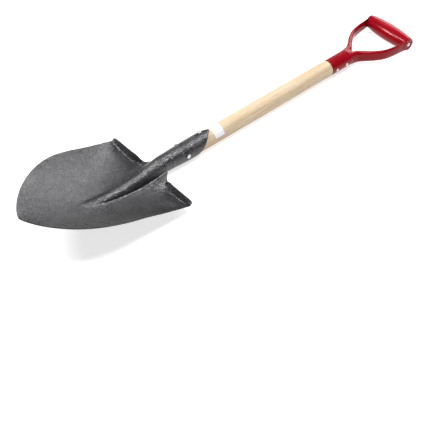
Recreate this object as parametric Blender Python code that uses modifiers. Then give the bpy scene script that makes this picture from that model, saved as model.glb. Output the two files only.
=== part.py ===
"""Round point digging shovel with a wooden shaft and a pressed steel D grip.

The tool lies on its back on the ground: +X runs along the shaft from the blade's point to the grip,
+Z is up and is the way the hollow side of the blade faces, and Y = 0 is its plane of symmetry.
Stations along the tool are measured from the blade's point, heights from the shaft's axis.
"""
import math

import bmesh
import bpy
from mathutils import Matrix, Vector

MM = 0.001

# Whole tool
GRIP_STATION = 955.6 * MM        # axis of the hand grip
GRIP_RADIUS = 18.7 * MM          # thickest place of the barrel
POINT_OVERHANG = 0.6 * MM        # the sheet's thickness reaches this far past the point's station
GAP = 0.3 * MM                   # clearance between pieces that touch

# Shaft
SHAFT_RADIUS_LOW = 17.8 * MM
SHAFT_RADIUS_HIGH = 17.5 * MM
SPIGOT_RADIUS = 15.7 * MM        # turned down end inside the yoke
SHAFT_START = 283.0 * MM
SHAFT_ROUND = 390.0 * MM         # from here on the shaft is round
SHAFT_END = 822.0 * MM

# Blade head: one sheet of steel
SHEET = 1.7 * MM
SOCKET_SIDE = 19.2 * MM          # to the middle of the sheet, round the shaft's full thickness
SOCKET_BACK = 19.0 * MM
RIB_START = 123.0 * MM
WIDEST = 175.0 * MM              # the point's curve ends here
HALF_WIDTH = 117.0 * MM
SHOULDER_HALF_WIDTH = 119.0 * MM
SHOULDER = 290.0 * MM
NECK = 320.0 * MM
HEEL = 246.0 * MM                # from here the rows bend to follow the shoulders
SEAM_GAP = 0.6 * MM
TREAD_INNER = 34.0 * MM
TREAD_FULL = 56.0 * MM
TREAD_EDGE_X = 297.0 * MM
TREAD_EDGE_Z = 4.0 * MM
TREAD_FOOT_X = 292.6 * MM
TREAD_FOOT_Z = -9.5 * MM

# Yoke, grip and fasteners
YOKE_START = 768.0 * MM
YOKE_RADIUS = 17.4 * MM
YOKE_WALL = 1.4 * MM
CROTCH = 838.0 * MM
GRIP_HALF_LENGTH = 54.0 * MM
GRIP_END_RADIUS = 14.4 * MM
GRIP_WALL = 1.5 * MM
EYE_RADIUS = 13.6 * MM
EYE_THICKNESS = 3.4 * MM
DISH_RADIUS = 9.0 * MM           # hollow in each eye, round the rod's peened end
DISH_DEPTH = 1.2 * MM
ROD_RADIUS = 3.0 * MM
ROD_HEAD_RADIUS = 4.4 * MM
ROD_HEAD_HEIGHT = 2.0 * MM
RIVET_RADIUS = 2.4 * MM
RIVET_HEAD_RADIUS = 4.4 * MM
RIVET_HEAD_HEIGHT = 1.8 * MM
YOKE_RIVET_HEAD_RADIUS = 3.6 * MM
CROSS_RIVET_STATION = 371.5 * MM
CROSS_RIVET_HEIGHT = 4.5 * MM
FRONT_RIVET_STATION = 420.8 * MM
FRONT_RIVET_SIDE = 3.3 * MM      # where its shank passes the shaft's axis
FRONT_RIVET_SLANT = math.radians(13.2)
FRONT_RIVET_HEAD = 19.7 * MM     # underside of its head, and its point, along the shank
FRONT_RIVET_POINT = 18.2 * MM
YOKE_RIVET_STATIONS = (780.0 * MM, 808.0 * MM)
LABEL_START = 443.0 * MM
LABEL_LENGTH = 23.0 * MM
LABEL_THICKNESS = 0.4 * MM

# Where the tool stands in its own frame
ORIGIN = Vector(((GRIP_STATION + GRIP_RADIUS - POINT_OVERHANG) / 2, 0.0, -(SOCKET_BACK + SHEET / 2)))


def millimetres(*pairs):
    """Design points given in millimetres."""
    return [tuple(value * MM for value in pair) for pair in pairs]


# Heights and half widths of the blade against the station
EDGE_HEIGHT = millimetres((0, 68.7), (60, 61.4), (125, 52.0), (175, 39.0), (230, 18.6), (290, -2.0))
VALLEY_HEIGHT = millimetres(
    (0, 68.7), (60, 42.5), (123, 16.5), (150, 5.5), (180, -2.8), (215, -9.2), (245, -11.0), (290, -8.0),
    (305, -5.0), (314, -2.0), (320, 0.0))
CREST_HEIGHT = millimetres(
    (123, 16.6), (150, 9.4), (180, 6.0), (210, 4.8), (240, 6.6), (275, 11.5), (310, 17.2), (334, 18.8),
    (390, 19.3))
BACK_HEIGHT = millimetres((320, 16.0), (334, 16.2), (360, 17.9), (380, 19.0))
RIB_HALF_WIDTH = millimetres(
    (0, 2.5), (123, 2.5), (150, 7.4), (180, 10.8), (215, 13.6), (250, 15.8), (290, 17.6), (334, 17.1),
    (360, 18.3), (390, 19.2))
SHOULDER_LINE = millimetres((18.0, 320.0), (27.0, 311.0), (36.0, 302.0), (46.0, 294.0), (58.0, 290.0))
# How far the heel bulges to the back just before the treads, against the distance from the middle
HEEL_BULGE = millimetres((20, 0), (30, 1.5), (45, 8.8), (60, 9.6), (80, 8.4), (100, 8.0), (119, 0))
# How far the sheet wraps round the shaft, in degrees from the front, against the station in millimetres
WRAP = [(290, 90), (305, 93), (314, 98), (320, 107), (328, 140), (334, 180), (380, 180), (386, 155),
        (393, 131), (400, 111), (408, 89), (415, 71), (423, 48), (430.5, 26), (436, 12), (439.5, 1)]


def smooth(x, points):
    """Reads the curve through the points, which doesn't overshoot between them."""
    xs = [p[0] for p in points]
    ys = [p[1] for p in points]
    if x <= xs[0]:
        return ys[0]
    if x >= xs[-1]:
        return ys[-1]
    rise = [(ys[k + 1] - ys[k]) / (xs[k + 1] - xs[k]) for k in range(len(xs) - 1)]

    def slope(k):
        if k in (0, len(rise)):
            return rise[min(k, len(rise) - 1)]
        if rise[k - 1] * rise[k] <= 0:
            return 0.0
        return 2 * rise[k - 1] * rise[k] / (rise[k - 1] + rise[k])

    k = max(i for i in range(len(rise)) if xs[i] <= x)
    step = xs[k + 1] - xs[k]
    t = (x - xs[k]) / step
    return ((1 + 2 * t) * (1 - t) ** 2 * ys[k] + t * (1 - t) ** 2 * step * slope(k)
            + t * t * (3 - 2 * t) * ys[k + 1] - t * t * (1 - t) * step * slope(k + 1))


def collection(name):
    made = bpy.data.collections.new(name)
    bpy.context.scene.collection.children.link(made)
    return made


def material(name, colour, roughness, metallic):
    made = bpy.data.materials.new(name)
    made.use_nodes = True
    shader = made.node_tree.nodes["Principled BSDF"]
    shader.inputs["Base Color"].default_value = (*colour, 1.0)
    shader.inputs["Roughness"].default_value = roughness
    shader.inputs["Metallic"].default_value = metallic
    return made


def add_object(name, mesh, group, finish=None):
    made = bpy.data.objects.new(name, mesh)
    group.objects.link(made)
    if finish:
        mesh.materials.append(finish)
    return made


def grid_mesh(name, rows, closed=False, caps=False):
    """A mesh from rows of points. Equal neighbours are merged, so a row may shrink to a point."""
    bm = bmesh.new()
    made = [[bm.verts.new(p) for p in row] for row in rows]
    for a, b in zip(made, made[1:]):
        count = min(len(a), len(b))
        for j in range(count if closed else count - 1):
            k = (j + 1) % count
            bm.faces.new((a[j], a[k], b[k], b[j]))
    if caps:
        bm.faces.new(reversed(made[0]))
        bm.faces.new(made[-1])
    bmesh.ops.remove_doubles(bm, verts=bm.verts, dist=0.01 * MM)
    bmesh.ops.recalc_face_normals(bm, faces=bm.faces)
    mesh = bpy.data.meshes.new(name)
    bm.to_mesh(mesh)
    bm.free()
    return mesh


def cylinder_mesh(name, radius, length, along, centre, segments=32):
    """A cylinder of the given length along X, Y or Z."""
    turn = {"X": Matrix.Rotation(math.pi / 2, 4, "Y"),
            "Y": Matrix.Rotation(math.pi / 2, 4, "X"),
            "Z": Matrix.Identity(4)}[along]
    bm = bmesh.new()
    bmesh.ops.create_cone(bm, cap_ends=True, segments=segments, radius1=radius, radius2=radius,
                          depth=length, matrix=Matrix.Translation(centre) @ turn)
    mesh = bpy.data.meshes.new(name)
    bm.to_mesh(mesh)
    bm.free()
    return mesh


def cutter(name, mesh, group):
    made = add_object(name, mesh, group)
    made.hide_render = True
    made.display_type = "WIRE"
    return made


def boolean(target, tool, operation):
    change = target.modifiers.new(f"{operation.lower()} {tool.name}", "BOOLEAN")
    change.operation = operation
    change.object = tool
    change.solver = "EXACT"


def shade(mesh, degrees=35):
    mesh.shade_smooth()
    mesh.set_sharp_from_angle(angle=math.radians(degrees))


# ---------------------------------------------------------------- blade head

def half_width(x):
    """Half width of the blade's outline: a round point, then nearly straight sides."""
    if x < WIDEST:
        return HALF_WIDTH * (1 - (1 - x / WIDEST) ** 2) ** 0.745
    flare = (x - WIDEST) / (SHOULDER - WIDEST)
    return HALF_WIDTH + (SHOULDER_HALF_WIDTH - HALF_WIDTH) * min(flare, 1.0)


def blade_point(row_x, v):
    """A point of the lobe beside the rib: v is 0 at the crease and 1 at the blade's edge."""
    crease = socket_point(row_x, 1.0)
    y = crease.y + v * (half_width(min(row_x, SHOULDER)) - crease.y)
    x = row_x
    bulge = 0.0
    if row_x > HEEL:
        along = (row_x - HEEL) / (NECK - HEEL)
        x = HEEL + along * (smooth(y, SHOULDER_LINE) - HEEL)
        bulge = along ** 2 * smooth(y, HEEL_BULGE)
    edge = smooth(x, EDGE_HEIGHT)
    bend = 2.0 + 1.6 * max(0.0, min(1.0, (x - 180 * MM) / (110 * MM)))
    return Vector((x, y, crease.z + (edge - crease.z) * v ** bend - bulge))


def socket_point(x, u):
    """A point of the rib or socket: u is 0 at the crest and 1 at the crease or the sheet's edge."""
    wide = smooth(x, RIB_HALF_WIDTH)
    if x < RIB_START:
        wide = min(wide, half_width(x) * 0.3)
    base = smooth(x, VALLEY_HEIGHT)
    tall = smooth(x, CREST_HEIGHT) - base if x > RIB_START else 0.0
    wrap = math.radians(smooth(x / MM, WRAP)) * u
    if wrap > math.pi / 2:
        tall = smooth(x, BACK_HEIGHT)
    y = wide * math.sin(wrap)
    z = base + tall * math.cos(wrap)
    if wrap > math.pi / 2:
        y = max(y, SEAM_GAP / 2)
    return Vector((x, y, z))


def tread_rows(last_row):
    """The turned up strip that the foot presses on, from the lobe's last row of points."""
    foot, top = [], []
    for p in last_row:
        if p.y < TREAD_INNER:
            continue
        full = min(1.0, (p.y - TREAD_INNER) / (TREAD_FULL - TREAD_INNER))
        full = full * (2 - full)
        back = p.x - SHOULDER
        low = Vector((TREAD_FOOT_X + back, p.y, max(TREAD_FOOT_Z, p.z + 2.0 * MM)))
        high = Vector((TREAD_EDGE_X + back, p.y, TREAD_EDGE_Z))
        corner = max(0.0, p.y - (SHOULDER_HALF_WIDTH - 8 * MM)) / (8 * MM)
        high -= Vector((0.8, 0.0, 2.6)) * MM * (1 - math.sqrt(max(0.0, 1 - corner ** 2)))
        foot.append(p.lerp(low, full))
        top.append(p.lerp(high, full))
    return foot, top


def head_sheet():
    """Half of the head's sheet, without thickness: rib and socket, lobe, and tread."""
    front = [0, 3, 8, 16, 28, 44, 64, 92]
    rib = [123, 135, 150, 168, 188, 208, 228, 246, 262, 278, 291, 302, 312, 320]
    ear = [322, 324, 326, 328, 329.5, 331, 332, 333, 334]
    tube = [344, 356, 368, 380]
    tongue = [381.5, 383, 385, 387] + list(range(390, 438, 3)) + [438.3, 439.5]
    wrap = ear + tube + tongue
    ring = 10
    lobe = [0, 0.05, 0.12, 0.19, 0.26, 0.38, 0.52, 0.66, 0.8, 0.92, 1.0]
    stations = [s * MM for s in front + rib]
    socket_rows = [[socket_point(x, k / ring) for k in range(ring + 1)]
                   for x in stations + [s * MM for s in wrap]]
    lobe_rows = [[blade_point(x, v) for v in lobe] for x in stations]
    for x, row, other in zip(stations, socket_rows, lobe_rows):
        if x < RIB_START:
            for p in row:
                p.z = other[0].z
        row[-1] = other[0].copy()
    sheets = [socket_rows, lobe_rows]
    last = [p for p in lobe_rows[-1] if p.y >= TREAD_INNER]
    sheets.append([last, *tread_rows(lobe_rows[-1])])
    bm = bmesh.new()
    for rows in sheets:
        piece = grid_mesh("piece", rows)
        bm.from_mesh(piece)
        bpy.data.meshes.remove(piece)
    bmesh.ops.remove_doubles(bm, verts=bm.verts, dist=0.01 * MM)
    bmesh.ops.recalc_face_normals(bm, faces=bm.faces)
    mesh = bpy.data.meshes.new("blade_head")
    bm.to_mesh(mesh)
    bm.free()
    return mesh


def make_head(parts, cutters, finish):
    head = add_object("blade_head", head_sheet(), parts, finish)
    mirror = head.modifiers.new("mirror", "MIRROR")
    mirror.use_axis = (False, True, False)
    mirror.merge_threshold = 0.05 * MM
    thick = head.modifiers.new("sheet", "SOLIDIFY")
    thick.thickness = SHEET
    thick.offset = 0.0
    thick.use_quality_normals = True
    hole = RIVET_RADIUS + GAP
    side = cylinder_mesh("cut_cross_hole", hole, 60 * MM, "Y",
                         (CROSS_RIVET_STATION, 0, CROSS_RIVET_HEIGHT), 16)
    boolean(head, cutter("cut_cross_hole", side, cutters), "DIFFERENCE")
    front = cylinder_mesh("cut_front_hole", hole, 60 * MM, "Z", (0, 0, 0), 16)
    front.transform(front_rivet_place())
    boolean(head, cutter("cut_front_hole", front, cutters), "DIFFERENCE")
    return head


# ---------------------------------------------------------------- shaft and label

def oval(x, centre_z, wide, tall, count=36):
    turns = [2 * math.pi * k / count for k in range(count)]
    return [Vector((x, wide * math.cos(t), centre_z + tall * math.sin(t))) for t in turns]


def make_shaft(parts, cutters, finish):
    """Round wood, scarfed at the bottom to pass under the rib and turned down inside the yoke."""
    step = 1.2 * MM
    shoulder = YOKE_START - GAP
    rows = [oval(SHAFT_START, -2.4 * MM, 11.4 * MM, 9.2 * MM),
            oval(SHAFT_START + 2 * MM, -2.2 * MM, 13.2 * MM, 11.0 * MM),
            oval(300 * MM, -1.0 * MM, 14.2 * MM, 12.5 * MM),
            oval(320 * MM, 0.6 * MM, 15.0 * MM, 14.4 * MM),
            oval(334 * MM, 1.2 * MM, 15.7 * MM, 15.9 * MM),
            oval(360 * MM, 0.6 * MM, 17.0 * MM, 17.0 * MM),
            oval(SHAFT_ROUND, 0, SHAFT_RADIUS_LOW, SHAFT_RADIUS_LOW),
            oval(shoulder - step, 0, SHAFT_RADIUS_HIGH, SHAFT_RADIUS_HIGH),
            oval(shoulder, 0, SHAFT_RADIUS_HIGH - step, SHAFT_RADIUS_HIGH - step),
            oval(shoulder, 0, SPIGOT_RADIUS, SPIGOT_RADIUS),
            oval(SHAFT_END - step, 0, SPIGOT_RADIUS, SPIGOT_RADIUS),
            oval(SHAFT_END, 0, SPIGOT_RADIUS - step, SPIGOT_RADIUS - step)]
    shaft = add_object("shaft", grid_mesh("shaft", rows, closed=True, caps=True), parts, finish)
    hole = RIVET_RADIUS + GAP
    crossings = [(CROSS_RIVET_STATION, CROSS_RIVET_HEIGHT)] + [(x, 0.0) for x in YOKE_RIVET_STATIONS]
    for k, (station, height) in enumerate(crossings):
        name = f"cut_shaft_hole_{k + 1}"
        mesh = cylinder_mesh(name, hole, 60 * MM, "Y", (station, 0, height), 16)
        boolean(shaft, cutter(name, mesh, cutters), "DIFFERENCE")
    mesh = cylinder_mesh("cut_shaft_front", hole, 60 * MM, "Z", (0, 0, 0), 16)
    mesh.transform(front_rivet_place())
    boolean(shaft, cutter("cut_shaft_front", mesh, cutters), "DIFFERENCE")
    return shaft


def make_label(parts, finish):
    """A blank sticker bent round the front of the shaft."""
    radius = SHAFT_RADIUS_LOW + GAP
    turns = [math.radians(-75 + 130 * k / 14) for k in range(15)]
    rows = [[Vector((x, radius * math.sin(t), radius * math.cos(t))) for t in turns]
            for x in (LABEL_START, LABEL_START + LABEL_LENGTH)]
    label = add_object("shaft_label", grid_mesh("shaft_label", rows), parts, finish)
    for polygon in label.data.polygons:
        if polygon.normal.z * polygon.center.z < 0:
            label.data.flip_normals()
            break
    thick = label.modifiers.new("paper", "SOLIDIFY")
    thick.thickness = LABEL_THICKNESS
    thick.offset = 1.0
    return label


# ---------------------------------------------------------------- yoke

ARM_PATH = millimetres((815, 7.5), (828, 8.6), (841, 11.4), (854, 20.6), (873, 35.8), (895, 47.4),
                       (920, 52.4), (942, 54.6), (951, 56.0))
ARM_THICKNESS = millimetres((815, 6.5), (828, 8.0), (841, 7.6), (854, 5.9), (873, 5.2), (895, 4.6),
                            (920, 3.4), (942, 1.9), (951, 1.7))
ARM_HEIGHT = millimetres((815, 12.0), (828, 14.2), (841, 13.6), (854, 12.9), (873, 12.3), (895, 12.0),
                         (920, 11.8), (942, 12.0), (951, 12.0))


def arm_rows(inset, first, last, count=16):
    """Rings of an arm of the yoke, from station first to last, shrunk by inset."""
    rows = []
    steps = 14
    for k in range(steps + 1):
        x = first + (last - first) * k / steps
        y = smooth(x, ARM_PATH)
        ahead = Vector((1 * MM, smooth(x + 1 * MM, ARM_PATH) - y, 0)).normalized()
        side = Vector((-ahead.y, ahead.x, 0))
        thick = smooth(x, ARM_THICKNESS) - inset
        tall = smooth(x, ARM_HEIGHT) - inset
        row = []
        for j in range(count):
            turn = 2 * math.pi * j / count
            flat = math.copysign(abs(math.cos(turn)) ** 0.75, math.cos(turn))
            high = math.copysign(abs(math.sin(turn)) ** 0.75, math.sin(turn))
            row.append(Vector((x, y, 0)) + side * thick * flat + Vector((0, 0, tall * high)))
        rows.append(row)
    return rows


def make_yoke(parts, cutters, finish):
    """One pressed sheet: a socket with a seam along its front, and two arms ending in eyes."""
    round_end = SHAFT_END + GAP
    tube = [oval(YOKE_START, 0, YOKE_RADIUS, YOKE_RADIUS),
            oval(round_end, 0, YOKE_RADIUS, YOKE_RADIUS),
            oval(831 * MM, 0, 16.6 * MM, 15.8 * MM),
            oval(CROTCH, 0, 13.0 * MM, 13.0 * MM)]
    yoke = add_object("yoke", grid_mesh("yoke", tube, closed=True, caps=True), parts, finish)
    room = YOKE_RADIUS - YOKE_WALL
    bore = grid_mesh("cut_yoke_bore", [oval(YOKE_START - 10 * MM, 0, room, room),
                                       oval(round_end, 0, room, room),
                                       oval(831 * MM, 0, 14.6 * MM, 13.8 * MM)], closed=True, caps=True)
    for side in (1, -1):
        flip = Matrix.Scale(side, 4, (0, 1, 0))
        tag = "left" if side > 0 else "right"
        outer = grid_mesh("arm", arm_rows(0, 815 * MM, 950 * MM), closed=True, caps=True)
        outer.transform(flip)
        if side < 0:
            outer.flip_normals()
        boolean(yoke, cutter(f"join_arm_{tag}", outer, cutters), "UNION")
        eye_y = side * (GRIP_HALF_LENGTH + GAP + EYE_THICKNESS / 2)
        eye = cylinder_mesh("eye", EYE_RADIUS, EYE_THICKNESS, "Y", (GRIP_STATION, eye_y, 0), 32)
        boolean(yoke, cutter(f"join_eye_{tag}", eye, cutters), "UNION")
    boolean(yoke, cutter("cut_yoke_bore", bore, cutters), "DIFFERENCE")
    for k, station in enumerate(YOKE_RIVET_STATIONS):
        hole = cylinder_mesh("hole", RIVET_RADIUS + GAP, 60 * MM, "Y", (station, 0, 0), 16)
        boolean(yoke, cutter(f"cut_yoke_hole_{k + 1}", hole, cutters), "DIFFERENCE")
    between = GRIP_HALF_LENGTH + GAP
    barrel = cylinder_mesh("room", GRIP_RADIUS + 1 * MM, 2 * between, "Y", (GRIP_STATION, 0, 0), 36)
    boolean(yoke, cutter("cut_grip_room", barrel, cutters), "DIFFERENCE")
    for side in (1, -1):
        tag = "left" if side > 0 else "right"
        hollow = grid_mesh("hollow", arm_rows(YOKE_WALL, 816 * MM, 926 * MM, 12), closed=True, caps=True)
        hollow.transform(Matrix.Scale(side, 4, (0, 1, 0)))
        if side < 0:
            hollow.flip_normals()
        boolean(yoke, cutter(f"cut_arm_{tag}", hollow, cutters), "DIFFERENCE")
        dish_y = side * (GRIP_HALF_LENGTH + GAP + EYE_THICKNESS)
        dish = cylinder_mesh("dish", DISH_RADIUS, 2 * DISH_DEPTH, "Y", (GRIP_STATION, dish_y, 0), 24)
        boolean(yoke, cutter(f"cut_dish_{tag}", dish, cutters), "DIFFERENCE")
    rod = cylinder_mesh("hole", ROD_RADIUS + GAP, 140 * MM, "Y", (GRIP_STATION, 0, 0), 16)
    boolean(yoke, cutter("cut_rod_holes", rod, cutters), "DIFFERENCE")
    bm = bmesh.new()
    seam_length = 56 * MM
    place = Matrix.Translation((YOKE_START + seam_length / 2 - 2 * MM, 0, YOKE_RADIUS))
    bmesh.ops.create_cube(bm, size=1.0, matrix=place @ Matrix.Diagonal((seam_length, SEAM_GAP, 6 * MM, 1)))
    seam = bpy.data.meshes.new("cut_yoke_seam")
    bm.to_mesh(seam)
    bm.free()
    boolean(yoke, cutter("cut_yoke_seam", seam, cutters), "DIFFERENCE")
    return yoke


# ---------------------------------------------------------------- grip, rod and rivets

def make_grip(parts, finish):
    """A barrel of rolled sheet, open at both ends."""
    steps = 8
    profile = []
    for k in range(steps + 1):
        t = 1 - 2 * k / steps
        radius = GRIP_END_RADIUS + (GRIP_RADIUS - GRIP_END_RADIUS) * (1 - t * t)
        profile.append((radius, t * GRIP_HALF_LENGTH))
    inner = [(radius - GRIP_WALL, y) for radius, y in reversed(profile)]
    loop = profile + inner
    count = 36
    rows = []
    for j in range(count + 1):
        turn = 2 * math.pi * j / count
        rows.append([Vector((GRIP_STATION + r * math.cos(turn), y, r * math.sin(turn))) for r, y in loop])
    return add_object("grip", grid_mesh("grip", rows, closed=True), parts, finish)


def pin_mesh(name, radius, reach, head_radius, head_height, station, height=0.0):
    """A round pin along Y with a domed head at both ends; reach is the half length under the heads."""
    dome = [(head_radius * math.cos(a), reach + head_height * math.sin(a))
            for a in [math.radians(d) for d in (0, 25, 50, 75)]]
    half = [(0.0, reach + head_height), *reversed(dome), (radius, reach)]
    profile = half + [(r, -h) for r, h in reversed(half)]
    count = 16
    rows = []
    for j in range(count + 1):
        turn = 2 * math.pi * j / count
        rows.append([Vector((station + r * math.cos(turn), h, height + r * math.sin(turn)))
                     for r, h in profile])
    return grid_mesh(name, rows)


def make_fasteners(parts, steel):
    socket_side = SOCKET_SIDE + SHEET / 2 + GAP
    yoke_side = YOKE_RADIUS + GAP
    dish_floor = GRIP_HALF_LENGTH + GAP + EYE_THICKNESS - DISH_DEPTH + GAP
    head = (RIVET_HEAD_RADIUS, RIVET_HEAD_HEIGHT)
    small_head = (YOKE_RIVET_HEAD_RADIUS, RIVET_HEAD_HEIGHT)
    pins = [("socket_cross_rivet", RIVET_RADIUS, socket_side, *head, CROSS_RIVET_STATION, CROSS_RIVET_HEIGHT),
            ("yoke_rivet_lower", RIVET_RADIUS, yoke_side, *small_head, YOKE_RIVET_STATIONS[0]),
            ("yoke_rivet_upper", RIVET_RADIUS, yoke_side, *small_head, YOKE_RIVET_STATIONS[1]),
            ("grip_rod", ROD_RADIUS, dish_floor, ROD_HEAD_RADIUS, ROD_HEAD_HEIGHT, GRIP_STATION)]
    for pin in pins:
        add_object(pin[0], pin_mesh(*pin), parts, steel)
    add_object("socket_front_rivet", front_rivet_mesh(), parts, steel)


def front_rivet_mesh():
    """The nail through the tongue, driven a little aslant: a domed head, and a point clenched at the back."""
    head = FRONT_RIVET_HEAD
    profile = [(0.0, head + 1.5 * MM), (2.2 * MM, head + 1.2 * MM), (3.5 * MM, head + 0.6 * MM),
               (4.0 * MM, head), (RIVET_RADIUS, head), (RIVET_RADIUS, -FRONT_RIVET_POINT),
               (0.0, -FRONT_RIVET_POINT - 0.5 * MM)]
    rows = []
    count = 16
    for j in range(count + 1):
        turn = 2 * math.pi * j / count
        rows.append([Vector((r * math.cos(turn), r * math.sin(turn), h)) for r, h in profile])
    mesh = grid_mesh("socket_front_rivet", rows)
    mesh.transform(front_rivet_place())
    return mesh


def front_rivet_place():
    """The front rivet's own frame: its shank along Z, its middle beside the shaft's axis."""
    return (Matrix.Translation((FRONT_RIVET_STATION, FRONT_RIVET_SIDE, 0))
            @ Matrix.Rotation(-FRONT_RIVET_SLANT, 4, "X"))


def main():
    for old in list(bpy.data.objects):
        bpy.data.objects.remove(old)
    parts = collection("garden_spade")
    cutters = collection("cutters")
    paint = material("dark grey paint", (0.05, 0.05, 0.055), 0.42, 0.4)
    wood = material("pale wood", (0.74, 0.53, 0.30), 0.55, 0.0)
    red = material("red enamel", (0.36, 0.008, 0.018), 0.18, 0.0)
    steel = material("bright steel", (0.62, 0.62, 0.62), 0.3, 1.0)
    paper = material("white label", (0.85, 0.85, 0.88), 0.4, 0.0)
    make_head(parts, cutters, paint)
    make_shaft(parts, cutters, wood)
    make_label(parts, paper)
    make_yoke(parts, cutters, red)
    make_grip(parts, red)
    make_fasteners(parts, steel)
    for thing in [*parts.objects, *cutters.objects]:
        thing.location = -ORIGIN
        shade(thing.data)


main()
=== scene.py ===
"""Looks of a round point digging shovel lying on its back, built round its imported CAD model.

Shapes are worked out in the tool's own millimetres: x is the station from the blade's point, y the distance
from the plane of symmetry and z the height over the shaft's axis. TO_ROW takes them to the frame in metres.
"""
import math

import bmesh
import bpy
from mathutils import Matrix, Vector, noise


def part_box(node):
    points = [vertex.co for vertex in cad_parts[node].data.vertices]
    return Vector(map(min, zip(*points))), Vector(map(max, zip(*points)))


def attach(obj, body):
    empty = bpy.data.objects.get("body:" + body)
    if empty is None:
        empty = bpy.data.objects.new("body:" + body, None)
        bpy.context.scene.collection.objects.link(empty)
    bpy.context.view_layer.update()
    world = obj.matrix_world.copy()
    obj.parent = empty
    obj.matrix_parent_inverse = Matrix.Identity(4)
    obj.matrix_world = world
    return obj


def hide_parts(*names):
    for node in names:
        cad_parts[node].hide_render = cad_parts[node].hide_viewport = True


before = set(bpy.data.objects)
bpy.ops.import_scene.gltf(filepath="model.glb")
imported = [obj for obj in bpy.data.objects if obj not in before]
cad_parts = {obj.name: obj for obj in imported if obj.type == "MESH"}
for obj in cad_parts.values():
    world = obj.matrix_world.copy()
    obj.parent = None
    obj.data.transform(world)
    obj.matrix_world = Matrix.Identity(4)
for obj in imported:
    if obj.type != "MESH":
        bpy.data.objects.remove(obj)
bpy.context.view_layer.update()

MM = 0.001
GRIP_STATION = 955.6
grip_low, grip_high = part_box("grip")
TO_ROW = (Matrix.Translation(((grip_low.x + grip_high.x) / 2 - GRIP_STATION * MM, 0,
                              (grip_low.z + grip_high.z) / 2)) @ Matrix.Scale(MM, 4))

# Blade head
SHEET = 1.7
SOCKET_SIDE = 19.2
RIB_START = 123.0
WIDEST = 175.0
HALF_WIDTH = 117.0
SHOULDER_HALF_WIDTH = 119.0
SHOULDER = 290.0
NECK = 320.0
HEEL = 246.0
SEAM_GAP = 0.6
FOLD_HEIGHT = 2.2
BEAD_HEIGHT = 1.2        # rolled edge of the lobe along the crease
BEAD_OFFSET = 6.0
BEAD_WIDTH = 2.8
TREAD_INNER = 34.0
TREAD_FULL = 56.0
TREAD_EDGE = (297.0, 4.0)
TREAD_FOOT = (292.6, -9.5)
EDGE_HEIGHT = [(0, 68.55), (60, 61.4), (125, 52.0), (175, 39.0), (230, 18.6), (290, -2.0)]
VALLEY_HEIGHT = [(0, 68.55), (60, 42.5), (123, 16.5), (150, 5.5), (180, -2.8), (215, -9.2), (245, -11.0),
                 (290, -8.0), (305, -5.0), (314, -2.0), (320, 0.0)]
CREST_HEIGHT = [(123, 16.6), (150, 9.4), (180, 6.0), (210, 4.8), (240, 6.6), (275, 11.5), (310, 17.2),
                (334, 18.8), (390, 19.3)]
BACK_HEIGHT = [(320, 16.0), (334, 16.2), (360, 17.9), (380, 19.0)]
RIB_HALF_WIDTH = [(0, 2.5), (123, 2.5), (150, 7.4), (180, 10.8), (215, 13.6), (250, 15.8), (290, 17.6),
                  (334, 17.1), (360, 18.3), (390, 19.2)]
SHOULDER_LINE = [(18, 320), (27, 311), (36, 302), (46, 294), (58, 290)]
HEEL_BULGE = [(20, 0), (30, 1.5), (45, 8.8), (60, 9.6), (80, 8.4), (100, 8.0), (119, 0)]
WRAP = [(290, 90), (305, 93), (314, 98), (320, 107), (328, 140), (334, 180), (380, 180), (386, 155),
        (393, 131), (400, 111), (408, 89), (415, 71), (423, 48), (430.5, 26), (436, 12), (439.5, 1)]

# Shaft, label, yoke, grip and fasteners
SHAFT_RADIUS = (17.8, 17.5)
SPIGOT_RADIUS = 15.7
SHAFT_START = 283.0
SHAFT_END = 822.0
LABEL = (443.0, 466.0)
YOKE_START = 768.0
YOKE_RADIUS = 17.4
YOKE_WALL = 1.4
CROTCH = 838.0
GRIP_HALF_LENGTH = 54.0
GRIP_RADIUS = 18.7
GRIP_END_RADIUS = 14.4
EYE_RADIUS = 13.6
EYE_THICKNESS = 3.4
ROD_HEAD_RADIUS = 4.4
RIVET_HEAD_RADIUS = 4.4
YOKE_RIVET_HEAD_RADIUS = 3.6
RIVET_RADIUS = 2.4
ROD_RADIUS = 3.0
RIVET_HEAD_HEIGHT = 1.8
ROD_HEAD_HEIGHT = 2.0
GAP = 0.3
DISH_RADIUS = 9.0
DISH_DEPTH = 1.2
SOCKET_RIVET = (371.5, 4.5)     # station, and height over the shaft's axis
YOKE_RIVET_STATIONS = {"lower": 780.0, "upper": 808.0}
NAIL_PLACE = (420.8, 3.3, 0)
NAIL_SLANT = -13.2              # degrees about the shaft's direction
NAIL_HEAD = 19.7                # from NAIL_PLACE along the nail
NAIL_POINT = 17.6
ARM_PATH = [(815, 7.5), (828, 8.6), (841, 11.4), (854, 20.6), (873, 35.8), (895, 47.4), (920, 52.4),
            (942, 54.6), (951, 56.0)]
ARM_THICKNESS = [(815, 6.5), (828, 8.0), (841, 7.6), (854, 5.9), (873, 5.2), (895, 4.6), (920, 3.4),
                 (942, 1.9), (951, 1.7)]
ARM_HEIGHT = [(815, 12.0), (828, 14.2), (841, 13.6), (854, 12.9), (873, 12.3), (895, 12.0), (920, 11.8),
              (942, 12.0), (951, 12.0)]

# Surroundings, in the frame's metres and in degrees
WORLD_STRENGTH = 0.18     # the light it gives; the camera sees it as plain white
CAMERA_PLACE = (-1.1562, -1.2929, 1.5540)
CAMERA_AROUND = -41.021
CAMERA_ABOVE = 45.835
CAMERA_LENS = 97.39


# ---------------------------------------------------------------- mesh tools

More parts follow.
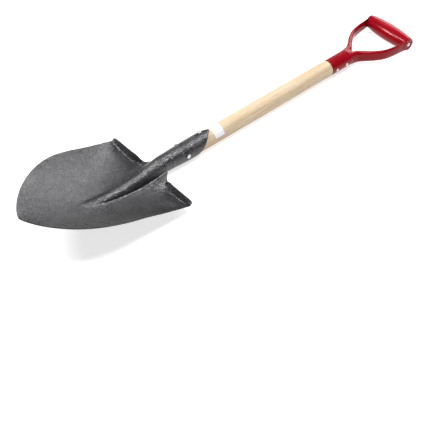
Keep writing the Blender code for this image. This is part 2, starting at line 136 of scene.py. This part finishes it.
def smooth(x, points):
    """Reads the curve through the points, which doesn't overshoot between them."""
    xs = [p[0] for p in points]
    ys = [p[1] for p in points]
    if x <= xs[0]:
        return ys[0]
    if x >= xs[-1]:
        return ys[-1]
    rise = [(ys[k + 1] - ys[k]) / (xs[k + 1] - xs[k]) for k in range(len(xs) - 1)]

    def slope(k):
        if k in (0, len(rise)):
            return rise[min(k, len(rise) - 1)]
        if rise[k - 1] * rise[k] <= 0:
            return 0.0
        return 2 * rise[k - 1] * rise[k] / (rise[k - 1] + rise[k])

    k = max(i for i in range(len(rise)) if xs[i] <= x)
    step = xs[k + 1] - xs[k]
    t = (x - xs[k]) / step
    return ((1 + 2 * t) * (1 - t) ** 2 * ys[k] + t * (1 - t) ** 2 * step * slope(k)
            + t * t * (3 - 2 * t) * ys[k + 1] - t * t * (1 - t) * step * slope(k + 1))


def spread(first, last, step):
    """Evenly spaced numbers from first to last, about step apart."""
    count = max(1, round((last - first) / step))
    return [first + (last - first) * k / count for k in range(count + 1)]


def add_grid(bm, rows, closed=False, caps=False):
    """Adds faces between each row of points and the next."""
    made = [[bm.verts.new(p) for p in row] for row in rows]
    for a, b in zip(made, made[1:]):
        count = min(len(a), len(b))
        for j in range(count if closed else count - 1):
            k = (j + 1) % count
            bm.faces.new((a[j], a[k], b[k], b[j]))
    if caps:
        bm.faces.new(reversed(made[0]))
        bm.faces.new(made[-1])


def weld(bm, distance=0.01):
    bmesh.ops.remove_doubles(bm, verts=bm.verts, dist=distance)
    bmesh.ops.recalc_face_normals(bm, faces=bm.faces)


def make_object(name, bm):
    """An object in the frame from a mesh in the tool's millimetres."""
    mesh = bpy.data.meshes.new(name)
    bm.to_mesh(mesh)
    bm.free()
    mesh.transform(TO_ROW)
    made = bpy.data.objects.new(name, mesh)
    bpy.context.scene.collection.objects.link(made)
    return made


def modifier(thing, kind, **values):
    made = thing.modifiers.new(kind.lower(), kind)
    for key, value in values.items():
        setattr(made, key, value)
    return made


def settle(thing):
    """Applies the object's modifiers."""
    graph = bpy.context.evaluated_depsgraph_get()
    mesh = bpy.data.meshes.new_from_object(thing.evaluated_get(graph))
    thing.modifiers.clear()
    old = thing.data
    thing.data = mesh
    bpy.data.meshes.remove(old)
    return thing


def finish_piece(thing, material, nodes, sharp=50):
    """Gives the piece its material and shading, puts it under the root body and hides the CAD nodes it stands
    for.
    """
    settle(thing)
    thing.data.materials.clear()
    thing.data.materials.append(material)
    thing.data.shade_smooth()
    thing.data.set_sharp_from_angle(angle=math.radians(sharp))
    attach(thing, "root")
    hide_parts(*nodes)
    return thing


def lathe(profile, place, segments=48):
    """Turns (radius, height) points round Z, then places them."""
    bm = bmesh.new()
    rows = []
    for j in range(segments + 1):
        turn = 2 * math.pi * j / segments
        rows.append([Vector((r * math.cos(turn), r * math.sin(turn), h)) for r, h in profile])
    add_grid(bm, rows)
    weld(bm, 0.002)
    bm.transform(place)
    return bm


# ---------------------------------------------------------------- materials

class Nodes:
    """A material's node tree with short ways to add to it."""

    def __init__(self, name):
        self.material = bpy.data.materials.new(name)
        self.material.use_nodes = True
        self.tree = self.material.node_tree
        self.shader = self.tree.nodes["Principled BSDF"]
        self.where = self.add("ShaderNodeTexCoord").outputs["Object"]

    def add(self, kind, **inputs):
        made = self.tree.nodes.new(kind)
        for key, value in inputs.items():
            made.inputs[key.replace("_", " ")].default_value = value
        return made

    def link(self, output, target):
        self.tree.links.new(output, target)

    def stretched(self, x, y, z):
        mapping = self.add("ShaderNodeMapping")
        mapping.inputs["Scale"].default_value = (x, y, z)
        self.link(self.where, mapping.inputs["Vector"])
        return mapping.outputs["Vector"]

    def noise(self, scale, detail=2.0, roughness=0.5, vector=None, distortion=0.0):
        made = self.add("ShaderNodeTexNoise", Scale=scale, Detail=detail, Roughness=roughness,
                        Distortion=distortion)
        self.link(vector or self.where, made.inputs["Vector"])
        return made.outputs["Fac"]

    def ramp(self, value, *stops):
        made = self.add("ShaderNodeValToRGB")
        elements = made.color_ramp.elements
        while len(elements) < len(stops):
            elements.new(0.5)
        for element, (place, colour) in zip(elements, stops):
            element.position = place
            element.color = (*colour, 1.0) if len(colour) == 3 else colour
        self.link(value, made.inputs["Fac"])
        return made.outputs["Color"]

    def span(self, value, low, high, start=0.0, end=1.0):
        made = self.add("ShaderNodeMapRange", From_Min=start, From_Max=end, To_Min=low, To_Max=high)
        self.link(value, made.inputs["Value"])
        return made.outputs["Result"]

    def mix(self, share, a, b, blend="MIX"):
        made = self.tree.nodes.new("ShaderNodeMix")
        made.data_type = "RGBA"
        made.blend_type = blend
        for value, target in ((share, made.inputs[0]), (a, made.inputs[6]), (b, made.inputs[7])):
            if isinstance(value, bpy.types.NodeSocket):
                self.link(value, target)
            else:
                target.default_value = value
        return made.outputs[2]

    def math(self, operation, a, b):
        made = self.tree.nodes.new("ShaderNodeMath")
        made.operation = operation
        for value, target in ((a, made.inputs[0]), (b, made.inputs[1])):
            if isinstance(value, bpy.types.NodeSocket):
                self.link(value, target)
            else:
                target.default_value = value
        return made.outputs[0]

    def bump(self, height, strength, distance, after=None):
        made = self.add("ShaderNodeBump", Strength=strength, Distance=distance)
        self.link(height, made.inputs["Height"])
        if after is not None:
            self.link(after, made.inputs["Normal"])
        return made.outputs["Normal"]

    def set(self, **values):
        """Sets or links the shader's sockets."""
        for key, value in values.items():
            target = self.shader.inputs[key.replace("_", " ")]
            if isinstance(value, bpy.types.NodeSocket):
                self.link(value, target)
            else:
                target.default_value = value


def head_paint():
    """Dark grey semi-gloss paint with a fine hammered skin, unevenly dull and flecked."""
    n = Nodes("hammered grey paint")
    grain = n.noise(900, 3.0, 0.6)
    hammer = n.noise(360, 2.0, 0.5)
    cloud = n.noise(14, 4.0, 0.6)
    flecks = n.noise(520, 2.0, 0.6)
    colour = n.ramp(cloud, (0.3, (0.050, 0.049, 0.052)), (0.7, (0.080, 0.079, 0.082)))
    speckle = n.ramp(flecks, (0.36, (0.50, 0.50, 0.50)), (0.64, (1.6, 1.6, 1.6)))
    n.set(Base_Color=n.mix(1.0, colour, speckle, "MULTIPLY"), Metallic=0.75,
          Roughness=n.span(n.math("ADD", grain, cloud), 0.22, 0.32, 0.7, 1.3),
          Specular_IOR_Level=0.5)
    normal = n.bump(hammer, 0.9, 0.0016)
    n.set(Normal=n.bump(grain, 0.3, 0.0003, normal))
    return n.material


def shaft_wood():
    """Pale straight grained wood, lightly sealed."""
    n = Nodes("pale wood")
    wander = n.noise(1.0, 2.0, 0.5, n.stretched(3.0, 14.0, 14.0))
    bands = n.noise(1.0, 3.0, 0.55, n.stretched(2.6, 150.0, 150.0), 0.6)
    fine = n.noise(1.0, 2.0, 0.6, n.stretched(9.0, 900.0, 900.0))
    pores = n.noise(1.0, 1.0, 0.5, n.stretched(60.0, 1500.0, 1500.0))
    base = n.ramp(bands, (0.32, (0.37, 0.26, 0.15)), (0.48, (0.47, 0.37, 0.25)), (0.7, (0.52, 0.44, 0.33)))
    tint = n.ramp(wander, (0.35, (0.92, 0.88, 0.80)), (0.65, (1.04, 1.04, 1.06)))
    streak = n.ramp(fine, (0.34, (0.80, 0.75, 0.68)), (0.58, (1.0, 1.0, 1.0)))
    dots = n.ramp(pores, (0.30, (0.72, 0.66, 0.58)), (0.38, (1.0, 1.0, 1.0)))
    colour = n.mix(1.0, n.mix(1.0, n.mix(1.0, base, tint, "MULTIPLY"), streak, "MULTIPLY"), dots, "MULTIPLY")
    n.set(Base_Color=colour, Roughness=n.span(fine, 0.42, 0.6), Specular_IOR_Level=0.4,
          Coat_Weight=0.12, Coat_Roughness=0.3)
    n.set(Normal=n.bump(n.math("ADD", fine, pores), 0.25, 0.0003))
    return n.material


def handle_enamel():
    """Deep red gloss enamel with a slight orange peel."""
    n = Nodes("red enamel")
    cloud = n.noise(18, 3.0, 0.5)
    peel = n.noise(330, 2.0, 0.5)
    colour = n.ramp(cloud, (0.3, (0.175, 0.001, 0.005)), (0.7, (0.215, 0.002, 0.008)))
    n.set(Base_Color=colour, Roughness=n.span(peel, 0.14, 0.22), Specular_IOR_Level=0.22,
          Specular_Tint=(1.0, 0.6, 0.6, 1.0))
    n.set(Normal=n.bump(peel, 0.12, 0.0005))
    return n.material


def fastener_steel():
    """Bright steel with small dents and patches of grime."""
    n = Nodes("hammered steel")
    dents = n.noise(700, 2.0, 0.5)
    grime = n.noise(260, 3.0, 0.6)
    n.set(Base_Color=n.ramp(grime, (0.35, (0.30, 0.29, 0.28)), (0.6, (0.62, 0.62, 0.62))), Metallic=1.0,
          Roughness=n.span(grime, 0.38, 0.22), Normal=n.bump(dents, 0.5, 0.0005))
    return n.material


def label_film():
    """Blank white film, faintly lilac, a little wrinkled."""
    n = Nodes("white film")
    wrinkle = n.noise(60, 3.0, 0.6)
    n.set(Base_Color=n.ramp(n.noise(25, 2.0), (0.3, (0.60, 0.59, 0.64)), (0.7, (0.68, 0.67, 0.71))),
          Roughness=n.span(wrinkle, 0.3, 0.45), Coat_Weight=0.3, Coat_Roughness=0.15,
          Normal=n.bump(wrinkle, 0.15, 0.0006))
    return n.material


# ---------------------------------------------------------------- blade head

def half_width(x):
    """Half of the blade's width at a station."""
    if x < WIDEST:
        return HALF_WIDTH * (1 - (1 - x / WIDEST) ** 2) ** 0.745
    flare = (x - WIDEST) / (SHOULDER - WIDEST)
    return HALF_WIDTH + (SHOULDER_HALF_WIDTH - HALF_WIDTH) * min(flare, 1.0)


def socket_point(x, u):
    """A point of the rib or socket: u is 0 at the crest and 1 at the crease or the sheet's edge."""
    wide = smooth(x, RIB_HALF_WIDTH)
    if x < RIB_START:
        wide = min(wide, half_width(x) * 0.3)
    base = smooth(x, VALLEY_HEIGHT)
    tall = smooth(x, CREST_HEIGHT) - base if x > RIB_START else 0.0
    wrap = math.radians(smooth(x, WRAP)) * u
    if wrap > math.pi / 2:
        tall = smooth(x, BACK_HEIGHT)
    y = wide * math.sin(wrap)
    if wrap > math.pi / 2:
        y = max(y, SEAM_GAP / 2)
    return Vector((x, y, base + tall * math.cos(wrap)))


def rib_point(x, u):
    """As socket_point, but the flank stops a little over the crease, so that the fold there is round."""
    ease = min(1.0, max(0.0, (316 - x) / 16))
    fold = FOLD_HEIGHT * ease * min(1.0, max(0.0, (x - RIB_START) / 30))
    if fold > 0:
        tall = smooth(x, CREST_HEIGHT) - smooth(x, VALLEY_HEIGHT)
        wrap = math.radians(smooth(x, WRAP))
        share = min(1.0, math.acos(min(0.9, fold / tall)) / wrap)
        u *= 1 + (share - 1) * ease
    return socket_point(x, u)


def blade_point(row_x, v):
    """A point of the lobe beside the rib: v is 0 at the crease and 1 at the blade's edge."""
    crease = socket_point(row_x, 1.0)
    y = crease.y + v * (half_width(min(row_x, SHOULDER)) - crease.y)
    x = row_x
    bulge = 0.0
    if row_x > HEEL:
        along = (row_x - HEEL) / (NECK - HEEL)
        x = HEEL + along * (smooth(y, SHOULDER_LINE) - HEEL)
        bulge = along ** 2 * smooth(y, HEEL_BULGE)
    edge = smooth(x, EDGE_HEIGHT)
    bend = 2.0 + 1.6 * max(0.0, min(1.0, (x - 180) / 110))
    strength = min(1.0, max(0.0, (row_x - 185) / 50)) * min(1.0, max(0.0, (316 - row_x) / 25))
    bead = BEAD_HEIGHT * strength * math.exp(-((y - crease.y - BEAD_OFFSET) / BEAD_WIDTH) ** 2)
    return Vector((x, y, crease.z + (edge - crease.z) * v ** bend - bulge + bead))


def tread_rows(last_row):
    """The turned up strip that the foot presses on, from the lobe's last row of points."""
    rows = [[], [], [], []]
    for p in last_row:
        full = min(1.0, max(0.0, (p.y - TREAD_INNER) / (TREAD_FULL - TREAD_INNER)))
        full = full * (2 - full)
        back = p.x - SHOULDER
        low = Vector((TREAD_FOOT[0] + back, p.y, max(TREAD_FOOT[1], p.z + 2.0)))
        high = Vector((TREAD_EDGE[0] + back, p.y, TREAD_EDGE[1]))
        corner = max(0.0, p.y - (SHOULDER_HALF_WIDTH - 8)) / 8
        high -= Vector((0.8, 0.0, 2.6)) * (1 - math.sqrt(max(0.0, 1 - corner ** 2)))
        for row, share in zip(rows, (0.0, 0.35, 0.7, 1.0)):
            row.append(p.lerp(low.lerp(high, share), full))
    return rows


def make_head(material):
    """Blade, rib, treads, socket and tongue: one half as a surface, mirrored, then made as thick as the sheet."""
    front = [0.12, 0.6, 1.5, 3, 5, 8, 11.5, 15.5, 20] + spread(25, 117, 5.5)
    rib = [121, 123, 125, 128, 131.5] + spread(136, 312, 5.2) + [316, 320]
    ear = [321.5, 323, 324.5, 326, 327.5, 329, 330.4, 331.7, 332.9, 334]
    tongue = spread(342, 376, 6) + [380, 381.5, 383] + spread(385, 436, 2.6) + [437.6, 438.8, 439.5]
    ring = 20
    lobe = [0, 0.035, 0.065, 0.095, 0.135, 0.18, 0.23] + spread(0.28, 0.94, 0.055) + [0.975, 1.0]
    stations = front + rib
    socket_rows = [[rib_point(x, k / ring) for k in range(ring + 1)] for x in stations + ear + tongue]
    lobe_rows = [[blade_point(x, v) for v in lobe] for x in stations]
    for x, row, other in zip(stations, socket_rows, lobe_rows):
        if x < RIB_START:
            for p in row:
                p.z = other[0].z
            row[-1] = other[0].copy()
        else:
            other[0] = row[-1].copy()
    last = [p for p in lobe_rows[-1] if p.y >= TREAD_INNER - 4]
    bm = bmesh.new()
    for rows in (socket_rows, lobe_rows, [last] + tread_rows(last)):
        add_grid(bm, rows)
    weld(bm)
    head = make_object("head", bm)
    modifier(head, "MIRROR", use_axis=(False, True, False), merge_threshold=0.05 * MM)
    modifier(head, "SUBSURF", levels=1, render_levels=1)
    modifier(head, "SOLIDIFY", thickness=SHEET * MM, offset=0.0, use_quality_normals=True)
    modifier(head, "BEVEL", width=0.35 * MM, segments=2, limit_method="ANGLE", angle_limit=math.radians(55))
    return finish_piece(head, material, ["blade_head"], 60)


# ---------------------------------------------------------------- shaft and label

def oval(x, centre_z, wide, tall, count=72):
    """A ring of points at a station, wide and tall being its half-sizes."""
    turns = [2 * math.pi * k / count for k in range(count)]
    return [Vector((x, wide * math.cos(t), centre_z + tall * math.sin(t))) for t in turns]


def make_shaft(material):
    """The wood, scarfed at the bottom to pass under the rib and turned down at the top to enter the yoke."""
    shoulder = YOKE_START - GAP
    low, high = SHAFT_RADIUS
    rows = [oval(SHAFT_START, -2.4, 9.6, 7.4),
            oval(SHAFT_START + 0.4, -2.4, 11.2, 9.0),
            oval(SHAFT_START + 2, -2.2, 13.2, 11.0),
            oval(292, -1.6, 13.8, 11.8),
            oval(300, -1.0, 14.2, 12.5),
            oval(320, 0.6, 15.0, 14.4),
            oval(334, 1.2, 15.7, 15.9),
            oval(360, 0.6, 17.0, 17.0),
            oval(390, 0, low, low)]
    for x in spread(410, shoulder - 2, 18):
        radius = low + (high - low) * (x - 390) / (shoulder - 392)
        rows.append(oval(x, 0, radius, radius))
    rows += [oval(shoulder - 0.9, 0, high - 0.2, high - 0.2),
             oval(shoulder - 0.3, 0, high - 0.6, high - 0.6),
             oval(shoulder, 0, high - 1.2, high - 1.2),
             oval(shoulder, 0, SPIGOT_RADIUS, SPIGOT_RADIUS),
             oval(SHAFT_END - 1.2, 0, SPIGOT_RADIUS, SPIGOT_RADIUS),
             oval(SHAFT_END, 0, SPIGOT_RADIUS - 1.2, SPIGOT_RADIUS - 1.2)]
    bm = bmesh.new()
    add_grid(bm, rows, closed=True, caps=True)
    weld(bm)
    return finish_piece(make_object("wooden_shaft", bm), material, ["shaft"], 40)


def make_label(material):
    """A blank sticker bent round the front of the shaft, with rounded corners."""
    first, last = LABEL
    corner = 2.4
    bm = bmesh.new()
    rows = []
    turns = [math.radians(a) for a in spread(-74, 54, 3)]
    radius = SHAFT_RADIUS[0] + 0.14
    for x in [first, first + 0.35, first + 0.9, first + 1.6, *spread(first + corner, last - corner, 3),
              last - 1.6, last - 0.9, last - 0.35, last]:
        into = max(0.0, corner - min(x - first, last - x)) / corner
        trim = corner * (1 - math.sqrt(max(0.0, 1 - into ** 2))) / radius
        low, high = turns[0] + trim, turns[-1] - trim
        rows.append([Vector((x, radius * math.sin(a), radius * math.cos(a)))
                     for a in spread(low, high, (turns[-1] - turns[0]) / 40)][:41])
    add_grid(bm, rows)
    bmesh.ops.recalc_face_normals(bm, faces=bm.faces)
    for face in bm.faces:
        if face.normal.dot(Vector((0, face.calc_center_median().y, face.calc_center_median().z))) < 0:
            face.normal_flip()
    label = make_object("label", bm)
    modifier(label, "SOLIDIFY", thickness=0.18 * MM, offset=1.0)
    return finish_piece(label, material, ["shaft_label"], 50)


# ---------------------------------------------------------------- yoke

def arm_rows(first, last, count=28):
    """Rings of the left arm of the yoke, from station first to last."""
    rows = []
    for x in spread(first, last, 3):
        y = smooth(x, ARM_PATH)
        ahead = Vector((1, smooth(x + 1, ARM_PATH) - y, 0)).normalized()
        side = Vector((-ahead.y, ahead.x, 0))
        thick = smooth(x, ARM_THICKNESS)
        tall = smooth(x, ARM_HEIGHT)
        row = []
        for j in range(count):
            turn = 2 * math.pi * j / count
            flat = math.copysign(abs(math.cos(turn)) ** 0.8, math.cos(turn))
            high = math.copysign(abs(math.sin(turn)) ** 0.8, math.sin(turn))
            row.append(Vector((x, y, 0)) + side * thick * flat + Vector((0, 0, tall * high)))
        rows.append(row)
    return rows


def cylinder(bm, radius, length, along, centre, segments=64):
    """Adds a closed cylinder along X or Y."""
    turn = {"X": Matrix.Rotation(math.pi / 2, 4, "Y"), "Y": Matrix.Rotation(math.pi / 2, 4, "X")}[along]
    bmesh.ops.create_cone(bm, cap_ends=True, segments=segments, radius1=radius, radius2=radius, depth=length,
                          matrix=Matrix.Translation(centre) @ turn)


def make_yoke(material):
    """A socket with a seam line along its front, and two arms, solid inside, that end in dished eyes."""
    round_end = SHAFT_END + GAP
    bm = bmesh.new()
    add_grid(bm, [oval(YOKE_START, 0, YOKE_RADIUS, YOKE_RADIUS), oval(round_end, 0, YOKE_RADIUS, YOKE_RADIUS),
                  oval(831, 0, 16.6, 15.8), oval(CROTCH, 0, 13.0, 13.0)], closed=True, caps=True)
    for side in (1, -1):
        rows = [[Vector((p.x, side * p.y, p.z)) for p in row] for row in arm_rows(815, 950)]
        add_grid(bm, rows, closed=True, caps=True)
        cylinder(bm, EYE_RADIUS, EYE_THICKNESS, "Y",
                 (GRIP_STATION, side * (GRIP_HALF_LENGTH + GAP + EYE_THICKNESS / 2), 0))
    bmesh.ops.recalc_face_normals(bm, faces=bm.faces)
    yoke = make_object("yoke_pressing", bm)
    modifier(yoke, "REMESH", mode="VOXEL", voxel_size=0.75 * MM)
    settle(yoke)
    room = YOKE_RADIUS - YOKE_WALL
    between = 2 * (GRIP_HALF_LENGTH + GAP)
    dish_y = GRIP_HALF_LENGTH + GAP + EYE_THICKNESS
    tools = bmesh.new()
    cylinder(tools, room, round_end - YOKE_START + 10, "X", ((YOKE_START - 10 + round_end) / 2, 0, 0))
    cylinder(tools, GRIP_RADIUS + 1, between, "Y", (GRIP_STATION, 0, 0))
    for side in (1, -1):
        cylinder(tools, DISH_RADIUS, 2 * DISH_DEPTH, "Y", (GRIP_STATION, side * dish_y, 0))
    bmesh.ops.recalc_face_normals(tools, faces=tools.faces)
    cutter = make_object("yoke_cuts", tools)
    modifier(yoke, "BOOLEAN", operation="DIFFERENCE", object=cutter, solver="EXACT")
    settle(yoke)
    bpy.data.objects.remove(cutter)
    modifier(yoke, "REMESH", mode="VOXEL", voxel_size=0.6 * MM)
    modifier(yoke, "SMOOTH", factor=0.5, iterations=5)
    settle(yoke)
    press_seam(yoke)
    return finish_piece(yoke, material, ["yoke"], 180)


def press_seam(yoke):
    """Presses the line along the front where the sheet's two edges meet."""
    back = TO_ROW.inverted()
    for vert in yoke.data.vertices:
        p = back @ vert.co
        if p.z > 8 and abs(p.y) < 4 and p.x < CROTCH + 6:
            fade = min(1.0, max(0.0, (CROTCH + 2 - p.x) / 14))
            depth = 1.0 * fade * math.exp(-(p.y / 0.75) ** 2)
            vert.co.z -= depth * MM


# ---------------------------------------------------------------- grip and fasteners

def make_grip(material):
    """A hollow barrel, open at both ends, thickest in the middle."""
    outer = []
    for y in spread(-GRIP_HALF_LENGTH + 1.2, GRIP_HALF_LENGTH - 1.2, 3):
        t = y / GRIP_HALF_LENGTH
        outer.append((GRIP_END_RADIUS + (GRIP_RADIUS - GRIP_END_RADIUS) * (1 - t * t), y))
    end = outer[-1][0]
    lip = [(end - 1.2 * (1 - math.cos(a)), GRIP_HALF_LENGTH - 1.2 + 1.2 * math.sin(a))
           for a in [math.radians(d) for d in (22, 45, 68, 90)]]
    inner = [(end - 2.6, GRIP_HALF_LENGTH), (end - 3.0, GRIP_HALF_LENGTH - 0.4),
             (end - 3.0, GRIP_HALF_LENGTH - 6)]
    half = lip + inner
    profile = [(r, -h) for r, h in reversed(half)] + outer + half
    profile = profile + [(GRIP_RADIUS - 3.5, 0.0), profile[0]]
    place = Matrix.Translation((GRIP_STATION, 0, 0)) @ Matrix.Rotation(math.pi / 2, 4, "X")
    grip = make_object("grip_barrel", lathe(profile, place, 96))
    return finish_piece(grip, material, ["grip"], 50)


def dome(radius, height, steps=7):
    """The half profile of a domed head on a flat rim, from the rim inwards."""
    rim = height * 0.22
    top = [(radius * math.cos(a), rim + (height - rim) * math.sin(a))
           for a in [math.pi / 2 * k / steps for k in range(steps)]]
    return [(radius - 0.15, 0.0), (radius, 0.12)] + top + [(0.0, height)]


def hammered(bm, amount, size):
    """Small dents, which move each point along its normal."""
    bm.normal_update()
    for vert in bm.verts:
        vert.co += vert.normal * amount * noise.noise(vert.co * size)


def make_pin(name, radius, reach, head_radius, head_height, station, height, node, material):
    """A pin across the tool with a domed head at each end, whose underside is at reach from the middle."""
    head = dome(head_radius, head_height)
    half = [(r, reach + h) for r, h in head]
    profile = list(reversed(half)) + [(radius, reach)]
    profile += [(r, -h) for r, h in reversed(profile)]
    place = Matrix.Translation((station, 0, height)) @ Matrix.Rotation(math.pi / 2, 4, "X")
    bm = lathe(profile, place, 40)
    hammered(bm, 0.12, 0.7)
    return finish_piece(make_object(name, bm), material, [node], 60)


def make_nail(material):
    """The nail through the socket's tongue, driven a little aslant."""
    head, point = NAIL_HEAD, NAIL_POINT
    profile = [(0.0, head + 1.5), (1.2, head + 1.42), (2.3, head + 1.2), (3.2, head + 0.85),
               (3.8, head + 0.45), (4.0, head + 0.15), (3.9, head),
               (RIVET_RADIUS, head), (RIVET_RADIUS, -point), (2.0, -point - 0.5), (0.0, -point - 1.1)]
    place = Matrix.Translation(NAIL_PLACE) @ Matrix.Rotation(math.radians(NAIL_SLANT), 4, "X")
    bm = lathe(profile, place, 40)
    hammered(bm, 0.1, 0.8)
    nail = make_object("socket_nail", bm)
    return finish_piece(nail, material, ["socket_front_rivet"], 60)


# ---------------------------------------------------------------- surroundings

def area_light(name, place, aim, size, power):
    """A rectangular light at a place in the frame, turned to the point aim; metres and watts."""
    data = bpy.data.lights.new(name, "AREA")
    data.shape = "RECTANGLE"
    data.size, data.size_y = size
    data.energy = power
    made = bpy.data.objects.new(name, data)
    bpy.context.scene.collection.objects.link(made)
    made.location = place
    made.rotation_mode = "QUATERNION"
    made.rotation_quaternion = (made.location - Vector(aim)).to_track_quat("Z", "Y")
    return made


def make_surroundings():
    """A pale floor, five area lights, and a world that is white to the camera but lights the tool faintly."""
    scene = bpy.context.scene
    bm = bmesh.new()
    bmesh.ops.create_grid(bm, x_segments=1, y_segments=1, size=20)
    mesh = bpy.data.meshes.new("floor")
    bm.to_mesh(mesh)
    bm.free()
    floor = bpy.data.objects.new("floor", mesh)
    scene.collection.objects.link(floor)
    n = Nodes("pale floor")
    n.set(Base_Color=n.ramp(n.noise(3, 2.0), (0.0, (0.48, 0.48, 0.48)), (1.0, (0.50, 0.50, 0.50))),
          Roughness=0.9, Specular_IOR_Level=0.1, Emission_Color=(1.0, 1.0, 1.0, 1.0), Emission_Strength=0.72)
    mesh.materials.append(n.material)
    floor.location = (0, 0, -0.0005)
    world = bpy.data.worlds.new("studio")
    world.use_nodes = True
    tree = world.node_tree
    background = tree.nodes["Background"]
    background.inputs["Color"].default_value = (1.0, 1.0, 1.0, 1.0)
    background.inputs["Strength"].default_value = WORLD_STRENGTH
    seen = tree.nodes.new("ShaderNodeBackground")
    seen.inputs["Color"].default_value = (1.0, 1.0, 1.0, 1.0)
    rays, choice = tree.nodes.new("ShaderNodeLightPath"), tree.nodes.new("ShaderNodeMixShader")
    tree.links.new(rays.outputs["Is Camera Ray"], choice.inputs[0])
    tree.links.new(background.outputs[0], choice.inputs[1])
    tree.links.new(seen.outputs[0], choice.inputs[2])
    tree.links.new(choice.outputs[0], tree.nodes["World Output"].inputs["Surface"])
    scene.world = world
    area_light("overhead", (0.45, -0.35, 1.9), (0.1, -0.1, 0), (0.6, 0.3), 40)
    area_light("key", (-0.75, 0.50, 1.60), (0.47, 0, 0), (0.35, 0.25), 16)
    area_light("fold", (-1.35, 1.20, 1.50), (-0.2, 0.05, 0), (0.50, 0.50), 42)
    area_light("back", (1.2, 1.3, 1.9), (0.4, 0, 0), (1.0, 0.3), 3)
    area_light("wall", (2.2, 0.6, 0.9), (0, 0, 0), (2.2, 1.2), 44)


def make_camera():
    """From beyond the blade's point and to its right, looking down at the tool."""
    data = bpy.data.cameras.new("camera")
    data.sensor_width = 36
    data.lens = CAMERA_LENS
    data.clip_start = 0.05
    data.clip_end = 60
    camera = bpy.data.objects.new("camera", data)
    bpy.context.scene.collection.objects.link(camera)
    around, above = math.radians(CAMERA_AROUND), math.radians(CAMERA_ABOVE)
    camera.location = CAMERA_PLACE
    back = Vector((math.sin(around) * math.cos(above), -math.cos(around) * math.cos(above), math.sin(above)))
    camera.rotation_mode = "QUATERNION"
    camera.rotation_quaternion = (-back).to_track_quat("-Z", "Y")
    bpy.context.scene.camera = camera


def main():
    paint, wood, red = head_paint(), shaft_wood(), handle_enamel()
    steel, film = fastener_steel(), label_film()
    make_head(paint)
    make_shaft(wood)
    make_label(film)
    make_yoke(red)
    make_grip(red)
    side = SOCKET_SIDE + SHEET / 2 + 0.15
    make_pin("socket_rivet", RIVET_RADIUS, side, RIVET_HEAD_RADIUS, RIVET_HEAD_HEIGHT, *SOCKET_RIVET,
             "socket_cross_rivet", steel)
    for end, station in YOKE_RIVET_STATIONS.items():
        make_pin(f"yoke_pin_{end}", RIVET_RADIUS, YOKE_RADIUS + 0.1, YOKE_RIVET_HEAD_RADIUS,
                 RIVET_HEAD_HEIGHT, station, 0.0, f"yoke_rivet_{end}", steel)
    floor_of_dish = GRIP_HALF_LENGTH + GAP + EYE_THICKNESS - DISH_DEPTH + 0.1
    make_pin("grip_pin", ROD_RADIUS, floor_of_dish, ROD_HEAD_RADIUS, ROD_HEAD_HEIGHT, GRIP_STATION, 0.0,
             "grip_rod", steel)
    make_nail(steel)
    make_surroundings()
    make_camera()
    scene = bpy.context.scene
    scene.view_settings.view_transform = "Standard"


main()
